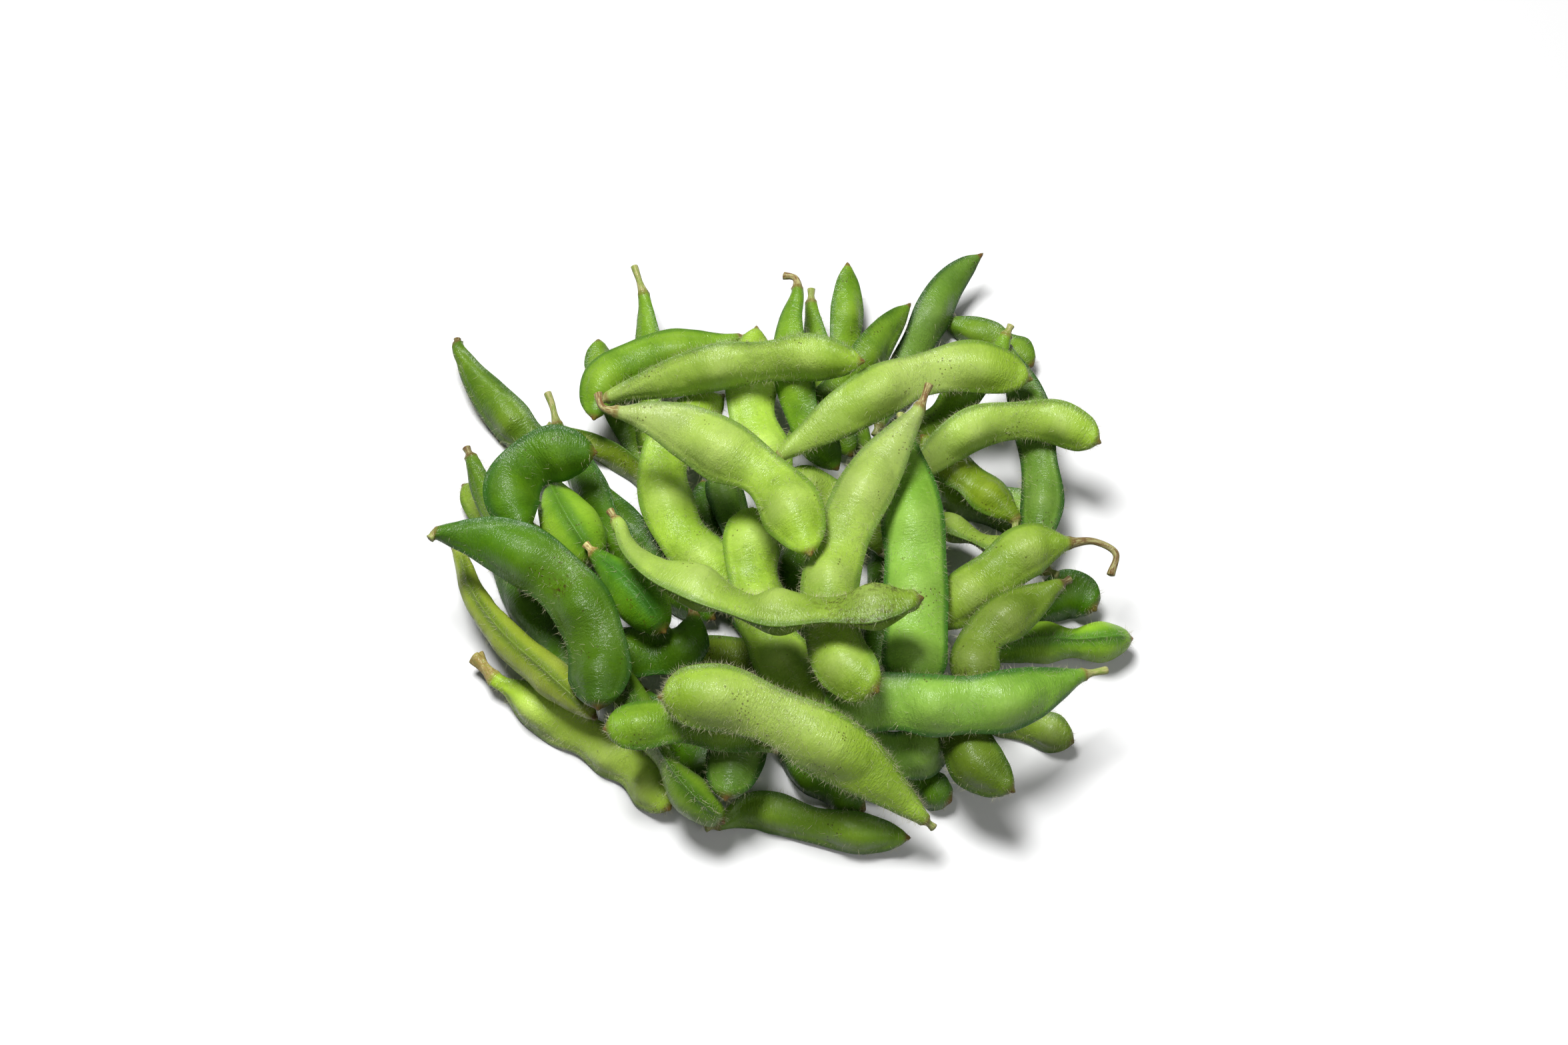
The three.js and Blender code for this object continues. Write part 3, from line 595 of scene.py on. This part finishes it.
class Nodes:
    """Adds nodes to a material's tree and joins them."""

    def __init__(self, tree):
        self.tree = tree
        self.tree.nodes.clear()

    def add(self, kind, **settings):
        node = self.tree.nodes.new(kind)
        for name, value in settings.items():
            setattr(node, name, value)
        return node

    def plug(self, source, target):
        self.tree.links.new(source, target)

    def feed(self, value, socket):
        if isinstance(value, bpy.types.NodeSocket):
            self.plug(value, socket)
        else:
            socket.default_value = value

    def math(self, operation, first, second=0.0, clamp=False):
        node = self.add("ShaderNodeMath", operation=operation, use_clamp=clamp)
        self.feed(first, node.inputs[0])
        self.feed(second, node.inputs[1])
        return node.outputs[0]

    def mark(self, name):
        return self.add("ShaderNodeAttribute", attribute_name=name).outputs["Fac"]

    def noise(self, coordinates, scale, stretch=(1, 1, 1), detail=2.0, roughness=0.5):
        mapping = self.add("ShaderNodeMapping")
        mapping.inputs["Scale"].default_value = stretch
        self.plug(coordinates, mapping.inputs["Vector"])
        node = self.add("ShaderNodeTexNoise")
        node.inputs["Scale"].default_value = scale
        node.inputs["Detail"].default_value = detail
        node.inputs["Roughness"].default_value = roughness
        self.plug(mapping.outputs[0], node.inputs["Vector"])
        return node.outputs["Fac"]

    def between(self, value, low, high, first=0.0, second=1.0):
        node = self.add("ShaderNodeMapRange", interpolation_type="SMOOTHSTEP")
        self.feed(value, node.inputs["Value"])
        for socket, number in zip(("From Min", "From Max", "To Min", "To Max"),
                                  (low, high, first, second)):
            node.inputs[socket].default_value = number
        return node.outputs["Result"]

    def blend(self, share, first, second, kind="MIX"):
        node = self.add("ShaderNodeMix", data_type="RGBA", blend_type=kind)
        self.feed(share, node.inputs[0])
        for socket, colour in ((node.inputs[6], first), (node.inputs[7], second)):
            if isinstance(colour, str):
                socket.default_value = (*linear(colour), 1)
            else:
                self.feed(colour, socket)
        return node.outputs[2]


def linear(code):
    """A six-figure colour code as linear red, green and blue."""
    parts = [int(code[k:k + 2], 16) / 255 for k in (0, 2, 4)]
    return [part / 12.92 if part <= 0.04045 else ((part + 0.055) / 1.055) ** 2.4 for part in parts]


def new_material(name):
    material = bpy.data.materials.new(name)
    material.use_nodes = True
    return material, Nodes(material.node_tree)


# ------------------------ pod skin

SKINS = {
    # slot: middle, pale and deep skin, and how dark the seams are
    "skin_yellow_green": dict(middle="9dc13a", pale="c4d87c", deep="799c22", seam=0.55),
    "skin_fresh_green": dict(middle="80ab28", pale="a0c23c", deep="588416", seam=0.65),
    "skin_grey_green": dict(middle="7ca938", pale="a0c260", deep="58841f", seam=0.95),
    "skin_olive_green": dict(middle="789420", pale="98ac2c", deep="506a0e", seam=0.6),
    "skin_deep_green": dict(middle="4e7c0e", pale="6f9a18", deep="325a08", seam=0.75),
}
SEAM_GREEN = "2f5f1b"
NECK_PALE = "bcc884"
RIPE_YELLOW = "b2b43a"
SPECK_BROWN = "48360f"
DRY_BROWN = "80603a"
CALYX_BROWN = "80602f"
STALK_STRAW = "b9b478"
STALK_GREEN = "8fa14e"
GREEN_STALK = 0.45          # pods whose own number is above this have a green stalk
DOWN_PALE = "e6e3bd"
DOWN_DARK = "a8a370"

# Patterns of the skin: how often they change in a millimetre, stretched across or along the
# pod, and how much fine detail they have.
BROAD_MOTTLE = dict(scale=0.13, detail=3)
FINE_MOTTLE = dict(scale=1.6, detail=4, roughness=0.65)
RIDGES = dict(scale=1.0, stretch=(0.5, 0.5, 1.7), detail=4, roughness=0.6)
WRINKLES = dict(scale=1.0, stretch=(0.8, 0.8, 2.6), detail=2)
PORES = dict(scale=3.2, detail=2)
ROUGH_PLACES = dict(scale=0.11, detail=2)
WET_PLACES = dict(scale=0.28, detail=3, roughness=0.6)
SPECK_PATCHES = dict(scale=0.16, detail=1)
SPECKS_IN_MM = 1.1
SPECK_RADIUS = 0.24         # over the space that a speck has
SCUFFS = dict(scale=1.1, stretch=(1.0, 1.0, 0.6), detail=5, roughness=0.75)
STALK_TONES = dict(scale=1.2, stretch=(2, 2, 0.4), detail=3)
SKIN_RELIEF = dict(strength=0.85, distance=0.3 * MM)
FILM_RELIEF = dict(strength=0.5, distance=0.22 * MM)


def skin_colour(nodes, look, straight, own, ridges, fine_mottle):
    """Green in broad patches, paler over the beans (partly the skin's own colour, partly a
    painted highlight on the domes) and in a fine mottle, deeper green in the grooves between the
    ridges (partly the veins' own colour, partly painted shade), with pale saddles and necks,
    yellow where a pod is ripe, and dark seams."""
    bean, saddle, seam = nodes.mark("bean"), nodes.mark("saddle"), nodes.mark("seam")
    broad_mottle = nodes.noise(straight, **BROAD_MOTTLE)
    colour = nodes.blend(nodes.between(broad_mottle, 0.35, 0.65), look["deep"], look["middle"])
    colour = nodes.blend(nodes.between(own, 0, 1, 0.2, 0.6), colour, look["middle"])
    # paler over the beans: partly the skin's own colour, partly a painted highlight on the domes
    colour = nodes.blend(nodes.math("MULTIPLY", bean, 0.4), colour, look["pale"])
    colour = nodes.blend(nodes.between(fine_mottle, 0.5, 0.75, 0, 0.35), colour, look["pale"])
    # deeper green in the grooves between the ridges: partly the veins' own colour, partly painted
    # shade
    colour = nodes.blend(nodes.between(ridges, 0.55, 0.3, 0, 0.2), colour, look["deep"])
    saddle_share = nodes.math("MULTIPLY", saddle, nodes.between(own, 0.2, 0.9, 0.05, 0.5))
    colour = nodes.blend(saddle_share, colour, look["pale"])
    colour = nodes.blend(nodes.mark("neck"), colour, NECK_PALE)
    colour = nodes.blend(nodes.mark("ripe"), colour, RIPE_YELLOW)
    return nodes.blend(nodes.math("MULTIPLY", seam, look["seam"]), colour, SEAM_GREEN)


def with_specks(nodes, colour, straight):
    """Brown specks in a few patches, and specks and scuffs where the skin is worn."""
    worn = nodes.mark("worn")
    cells = nodes.add("ShaderNodeTexVoronoi", feature="F1")
    cells.inputs["Scale"].default_value = SPECKS_IN_MM
    nodes.plug(straight, cells.inputs["Vector"])
    patches = nodes.between(nodes.noise(straight, **SPECK_PATCHES), 0.6, 0.7)
    patches = nodes.math("MAXIMUM", patches, worn)
    reach = nodes.math("MULTIPLY", patches, SPECK_RADIUS)
    dots = nodes.math("LESS_THAN", cells.outputs["Distance"], reach)
    colour = nodes.blend(nodes.math("MULTIPLY", dots, 0.65), colour, SPECK_BROWN)
    scuffs = nodes.between(nodes.noise(straight, **SCUFFS), 0.51, 0.57)
    return nodes.blend(nodes.math("MULTIPLY", scuffs, worn), colour, SPECK_BROWN)


def with_dry_parts(nodes, colour, straight, own, fine_mottle):
    """A green or dried stalk, and a brown calyx and beak."""
    tone = nodes.noise(straight, **STALK_TONES)
    dried = nodes.blend(nodes.between(tone, 0.35, 0.65), DRY_BROWN, STALK_STRAW)
    fresh = nodes.blend(nodes.between(tone, 0.35, 0.65), STALK_GREEN, STALK_STRAW)
    stalk_colour = nodes.blend(nodes.math("GREATER_THAN", own, GREEN_STALK), dried, fresh)
    colour = nodes.blend(nodes.mark("stalk"), colour, stalk_colour)
    share = nodes.between(fine_mottle, 0.3, 0.6, 0.5, 1.0)
    return nodes.blend(nodes.math("MULTIPLY", nodes.mark("dry"), share), colour, CALYX_BROWN)


def raised(nodes, height, strength, distance):
    """The direction of a surface that stands out by a height, the distance at its most."""
    relief = nodes.add("ShaderNodeBump")
    relief.inputs["Strength"].default_value = strength
    relief.inputs["Distance"].default_value = distance
    nodes.plug(height, relief.inputs["Height"])
    return relief.outputs[0]


def skin_surface(nodes, straight, ridges):
    """The direction of the skin, with ridges across the pod and pores between them, and of
    the film of water on it, which lies more smoothly and breaks its glints."""
    wrinkles = nodes.between(nodes.noise(straight, **WRINKLES), 0.3, 0.7)
    pores = nodes.math("MULTIPLY", nodes.noise(straight, **PORES), 0.5)
    height = nodes.math("ADD", nodes.math("MULTIPLY", ridges, 0.5), pores)
    height = nodes.math("ADD", height, nodes.math("MULTIPLY", wrinkles, 0.25))
    rough_places = nodes.between(nodes.noise(straight, **ROUGH_PLACES), 0.38, 0.62, 0.35, 1.0)
    height = nodes.math("MULTIPLY", height, rough_places)
    return (raised(nodes, height, **SKIN_RELIEF),
            raised(nodes, nodes.math("ADD", wrinkles, pores), **FILM_RELIEF))


def skin_material(slot):
    """Soft moist pod skin with its markings, and the dry stalk, calyx and beak."""
    look = SKINS[slot]
    material, nodes = new_material(slot)
    straight = nodes.add("ShaderNodeAttribute", attribute_name="straight").outputs["Vector"]
    own = nodes.mark("own")
    ridges = nodes.noise(straight, **RIDGES)
    fine_mottle = nodes.noise(straight, **FINE_MOTTLE)

    colour = skin_colour(nodes, look, straight, own, ridges, fine_mottle)
    colour = with_specks(nodes, colour, straight)
    colour = with_dry_parts(nodes, colour, straight, own, fine_mottle)
    # the colour scaled by the mark tone, which holds painted light and shade as well as each pod's
    # own tone
    toned_and_painted_light = nodes.add("ShaderNodeVectorMath", operation="SCALE")
    nodes.plug(colour, toned_and_painted_light.inputs[0])
    nodes.plug(nodes.mark("tone"), toned_and_painted_light.inputs["Scale"])

    wet = nodes.noise(straight, **WET_PLACES)
    dull = nodes.math("MAXIMUM", nodes.mark("dry"), nodes.mark("stalk"))
    dull = nodes.math("MULTIPLY", dull, 0.25)
    roughness = nodes.math("ADD", nodes.between(wet, 0.42, 0.58, 0.4, 0.62), dull, clamp=True)
    relief, film = skin_surface(nodes, straight, ridges)

    skin = nodes.add("ShaderNodeBsdfPrincipled")
    nodes.plug(toned_and_painted_light.outputs[0], skin.inputs["Base Color"])
    nodes.plug(roughness, skin.inputs["Roughness"])
    nodes.plug(relief, skin.inputs["Normal"])
    nodes.plug(film, skin.inputs["Coat Normal"])
    skin.inputs["Subsurface Weight"].default_value = 0.15
    skin.inputs["Subsurface Radius"].default_value = (0.8, 1.0, 0.2)
    skin.inputs["Subsurface Scale"].default_value = 1.0 * MM
    skin.inputs["Specular IOR Level"].default_value = 0.22
    skin.inputs["Coat Weight"].default_value = 0.28
    skin.inputs["Coat Roughness"].default_value = 0.12
    output = nodes.add("ShaderNodeOutputMaterial")
    nodes.plug(skin.outputs[0], output.inputs["Surface"])
    return material


def down_material():
    """Pale down, a little darker here and there."""
    material, nodes = new_material("pod_down")
    place = nodes.add("ShaderNodeTexCoord").outputs["Object"]
    tone = nodes.noise(place, 600, detail=1)
    hair = nodes.add("ShaderNodeBsdfPrincipled")
    nodes.plug(nodes.blend(tone, DOWN_DARK, DOWN_PALE), hair.inputs["Base Color"])
    hair.inputs["Roughness"].default_value = 0.5
    hair.inputs["Sheen Weight"].default_value = 0.3
    output = nodes.add("ShaderNodeOutputMaterial")
    nodes.plug(hair.outputs[0], output.inputs["Surface"])
    return material


# ------------------------ down

def down_tree(material):
    """Grows short pointed hairs on a surface where its mark "down" says so."""
    tree = bpy.data.node_groups.new("down", "GeometryNodeTree")
    face = tree.interface
    face.new_socket("Surface", in_out="INPUT", socket_type="NodeSocketGeometry")
    for name, value in (("Hairs per area", DOWN_PER_AREA), ("Hair length", DOWN_LENGTH),
                        ("Hair width", DOWN_WIDTH), ("Tilt", DOWN_TILT),
                        ("Clear height", DOWN_CLEAR)):
        face.new_socket(name, in_out="INPUT", socket_type="NodeSocketFloat").default_value = value
    face.new_socket("Seed", in_out="INPUT", socket_type="NodeSocketInt")
    face.new_socket("Down", in_out="OUTPUT", socket_type="NodeSocketGeometry")

    def add(kind, **settings):
        node = tree.nodes.new(kind)
        for name, value in settings.items():
            setattr(node, name, value)
        return node

    def math_node(operation, first, second):
        node = add("ShaderNodeMath", operation=operation)
        tree.links.new(first, node.inputs[0])
        if isinstance(second, bpy.types.NodeSocket):
            tree.links.new(second, node.inputs[1])
        else:
            node.inputs[1].default_value = second
        return node.outputs[0]

    given = add("NodeGroupInput").outputs
    growth = add("GeometryNodeInputNamedAttribute", data_type="FLOAT")
    growth.inputs["Name"].default_value = "down"
    place = add("ShaderNodeSeparateXYZ")
    tree.links.new(add("GeometryNodeInputPosition").outputs[0], place.inputs[0])
    clear = math_node("GREATER_THAN", place.outputs["Z"], given["Clear height"])
    density = math_node("MULTIPLY", growth.outputs["Attribute"], given["Hairs per area"])
    density = math_node("MULTIPLY", density, clear)
    roots = add("GeometryNodeDistributePointsOnFaces")
    tree.links.new(given["Surface"], roots.inputs["Mesh"])
    tree.links.new(density, roots.inputs["Density"])
    tree.links.new(given["Seed"], roots.inputs["Seed"])

    hair = add("GeometryNodeMeshCone")
    hair.inputs["Vertices"].default_value = 3
    hair.inputs["Radius Top"].default_value = 0
    tree.links.new(math_node("MULTIPLY", given["Hair width"], 0.5), hair.inputs["Radius Bottom"])
    tree.links.new(given["Hair length"], hair.inputs["Depth"])

    lean = add("FunctionNodeRandomValue", data_type="FLOAT_VECTOR")
    most = add("ShaderNodeCombineXYZ")
    least = add("ShaderNodeCombineXYZ")
    for axis in "XY":
        tree.links.new(given["Tilt"], most.inputs[axis])
        tree.links.new(math_node("MULTIPLY", given["Tilt"], -1), least.inputs[axis])
    tree.links.new(most.outputs[0], lean.inputs["Max"])
    tree.links.new(least.outputs[0], lean.inputs["Min"])
    tree.links.new(given["Seed"], lean.inputs["Seed"])
    turned = add("FunctionNodeRotateRotation", rotation_space="LOCAL")
    tree.links.new(roots.outputs["Rotation"], turned.inputs["Rotation"])
    tree.links.new(lean.outputs["Value"], turned.inputs["Rotate By"])
    size = add("FunctionNodeRandomValue", data_type="FLOAT")
    smallest, largest = size.inputs[2], size.inputs[3]
    smallest.default_value, largest.default_value = DOWN_SIZES

    grown = add("GeometryNodeInstanceOnPoints")
    tree.links.new(roots.outputs["Points"], grown.inputs["Points"])
    tree.links.new(hair.outputs["Mesh"], grown.inputs["Instance"])
    tree.links.new(turned.outputs["Rotation"], grown.inputs["Rotation"])
    tree.links.new(size.outputs[1], grown.inputs["Scale"])
    real = add("GeometryNodeRealizeInstances")
    tree.links.new(grown.outputs[0], real.inputs[0])
    painted = add("GeometryNodeSetMaterial")
    painted.inputs["Material"].default_value = material
    tree.links.new(real.outputs[0], painted.inputs[0])
    tree.links.new(painted.outputs[0], add("NodeGroupOutput").inputs[0])
    return tree


def joined_mesh(name, meshes):
    """One mesh with the places, faces and down marks of several."""
    corners, faces, growth = [], [], []
    for mesh in meshes:
        start = len(corners)
        corners += [tuple(corner.co) for corner in mesh.vertices]
        faces += [[start + corner for corner in face.vertices] for face in mesh.polygons]
        growth += [mark.value for mark in mesh.attributes["down"].data]
    joined = bpy.data.meshes.new(name)
    joined.from_pydata(corners, [], faces)
    joined.attributes.new("down", "FLOAT", "POINT").data.foreach_set("value", growth)
    return joined


def grow_down(tree, name, meshes, seed, material):
    """The down of several pods as one plain mesh."""
    surface = bpy.data.objects.new(name + "_surface", joined_mesh(name, meshes))
    bpy.context.scene.collection.objects.link(surface)
    growing = surface.modifiers.new("down", "NODES")
    growing.node_group = tree
    identifiers = {item.name: item.identifier for item in tree.interface.items_tree
                   if item.in_out == "INPUT"}
    growing[identifiers["Seed"]] = seed
    grown = surface.evaluated_get(bpy.context.evaluated_depsgraph_get())
    mesh = bpy.data.meshes.new_from_object(grown)
    mesh.name = name
    surface.modifiers.clear()
    bpy.data.objects.remove(surface)
    mesh.materials.clear()
    mesh.materials.append(material)
    return mesh


# ------------------------ camera, floor and light

PLAN_CENTRE = Vector((0.73, -9.01, 18)) * MM     # the point that the camera looks at
SIGHT_ELEVATION = math.radians(60)               # how steeply it looks down
SIGHT_DISTANCE = 480 * MM
LENS_MM = 50
AIM_SHIFT = 0.0132          # upward shift of the lens, over the breadth of the frame

FLOOR_REACH = 3             # metres
FLOOR_HEIGHT = -0.0001      # metres, just under the pods
FLOOR_LIT = 0.20            # metres from the middle: up to here the floor is lit by the lamps
FLOOR_WHITE = 0.38          # from here on the floor is seen as plain white
FLOOR_SEEN = "f8f8f8"
FLOOR_BOUNCE = "303030"     # how dark it is in the light that it throws back on the pods
AIR_SEEN = "ffffff"
AIR_LIGHT = "4a4a4a"
LAMPS = {
    # name: place in metres, breadth in metres and power in watts
    "key": ((-0.15, 0.16, 0.8), 0.28, 8.0),
    "fill": ((0.35, -0.5, 0.6), 0.4, 1.2),
}
LAMP_AIM = Vector((0, 0, 0.02))


def set_camera():
    """A camera in front of the heap and above it."""
    camera = bpy.data.objects.new("camera", bpy.data.cameras.new("camera"))
    bpy.context.scene.collection.objects.link(camera)
    to_viewer = Vector((0, -math.cos(SIGHT_ELEVATION), math.sin(SIGHT_ELEVATION)))
    camera.location = PLAN_CENTRE + to_viewer * SIGHT_DISTANCE
    camera.rotation_euler = (math.pi / 2 - SIGHT_ELEVATION, 0, 0)
    camera.data.lens = LENS_MM
    camera.data.sensor_width = 36
    camera.data.shift_y = AIM_SHIFT
    camera.data.clip_start = 0.01
    camera.data.clip_end = 10
    bpy.context.scene.camera = camera


def lay_floor():
    """A plain pale floor under the heap, which runs out into a white ground."""
    mesh = bpy.data.meshes.new("floor")
    corners = [(x * FLOOR_REACH, y * FLOOR_REACH, FLOOR_HEIGHT)
               for x, y in ((-1, -1), (1, -1), (1, 1), (-1, 1))]
    mesh.from_pydata(corners, [], [(0, 1, 2, 3)])
    floor = bpy.data.objects.new("floor", mesh)
    bpy.context.scene.collection.objects.link(floor)
    material, nodes = new_material("floor")
    rays = nodes.add("ShaderNodeLightPath")
    seen = nodes.math("MAXIMUM", rays.outputs["Is Camera Ray"], rays.outputs["Is Glossy Ray"])
    seen = nodes.math("MAXIMUM", seen, rays.outputs["Is Transmission Ray"])
    paint = nodes.add("ShaderNodeBsdfDiffuse")
    nodes.plug(nodes.blend(seen, FLOOR_BOUNCE, FLOOR_SEEN), paint.inputs["Color"])
    from_middle = nodes.add("ShaderNodeVectorMath", operation="LENGTH")
    nodes.plug(nodes.add("ShaderNodeTexCoord").outputs["Object"], from_middle.inputs[0])
    far_off = nodes.between(from_middle.outputs["Value"], FLOOR_LIT, FLOOR_WHITE)
    white = nodes.add("ShaderNodeEmission")
    ground = nodes.add("ShaderNodeMixShader")
    nodes.plug(nodes.math("MULTIPLY", far_off, rays.outputs["Is Camera Ray"]), ground.inputs[0])
    nodes.plug(paint.outputs[0], ground.inputs[1])
    nodes.plug(white.outputs[0], ground.inputs[2])
    output = nodes.add("ShaderNodeOutputMaterial")
    nodes.plug(ground.outputs[0], output.inputs["Surface"])
    material.cycles.emission_sampling = "NONE"
    mesh.materials.append(material)


def soft_lamp(name, place, size, power):
    """A square soft box at a place, turned towards the heap."""
    lamp = bpy.data.lights.new(name, "AREA")
    lamp.size = size
    lamp.energy = power
    holder = bpy.data.objects.new(name, lamp)
    holder.location = place
    way = LAMP_AIM - Vector(place)
    holder.rotation_euler = way.to_track_quat("-Z", "Y").to_euler()
    bpy.context.scene.collection.objects.link(holder)


def light_studio():
    """Even light from all round, seen as plain white, and two soft lamps."""
    world = bpy.data.worlds.new("studio")
    bpy.context.scene.world = world
    world.use_nodes = True
    nodes = Nodes(world.node_tree)
    rays = nodes.add("ShaderNodeLightPath")
    seen = nodes.math("MAXIMUM", rays.outputs["Is Camera Ray"], rays.outputs["Is Transmission Ray"])
    air = nodes.add("ShaderNodeBackground")
    nodes.plug(nodes.blend(seen, AIR_LIGHT, AIR_SEEN), air.inputs["Color"])
    air.inputs["Strength"].default_value = 1.0
    output = nodes.add("ShaderNodeOutputWorld")
    nodes.plug(air.outputs[0], output.inputs["Surface"])
    for name, (place, size, power) in LAMPS.items():
        soft_lamp(name, place, size, power)


# ------------------------ the heap

def place_piece(name, mesh):
    """A mesh, with the material it already holds, as a visible piece of the heap."""
    piece = bpy.data.objects.new(name, mesh)
    bpy.context.scene.collection.objects.link(piece)
    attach(piece, "root")
    return piece


def slots_of_nodes():
    """The record's material slot of each CAD node."""
    return {part["node"]: part["material_slot"] for part in frame["record"]["subparts"]}


def build_heap():
    """Every pod, then the down on them."""
    slots = slots_of_nodes()
    meshes = {}
    skins = {slot: skin_material(slot) for slot in SKINS}
    for order, node in enumerate(sorted(frame["nodes"])):
        rng = np.random.default_rng(1000 + order)
        pod = read_pod(node)
        skin = fine_pod(pod, rng)
        own = float(rng.uniform(0, 1))
        mesh = closed_skin(pod, skin, STALKS.get(node, own))
        mesh.materials.append(skins[slots[node]])
        piece = place_piece(mesh.name, mesh)
        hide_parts(node)
        meshes[node] = mesh
    hair = down_material()
    tree = down_tree(hair)
    for seed, (name, prefixes) in enumerate(DOWN_GROUPS.items()):
        grown = [meshes[node] for node in sorted(meshes) if node.startswith(prefixes)]
        place_piece(name, grow_down(tree, name, grown, seed, hair))


set_camera()
lay_floor()
light_studio()
build_heap()

bpy.context.scene.view_settings.view_transform = "Standard"
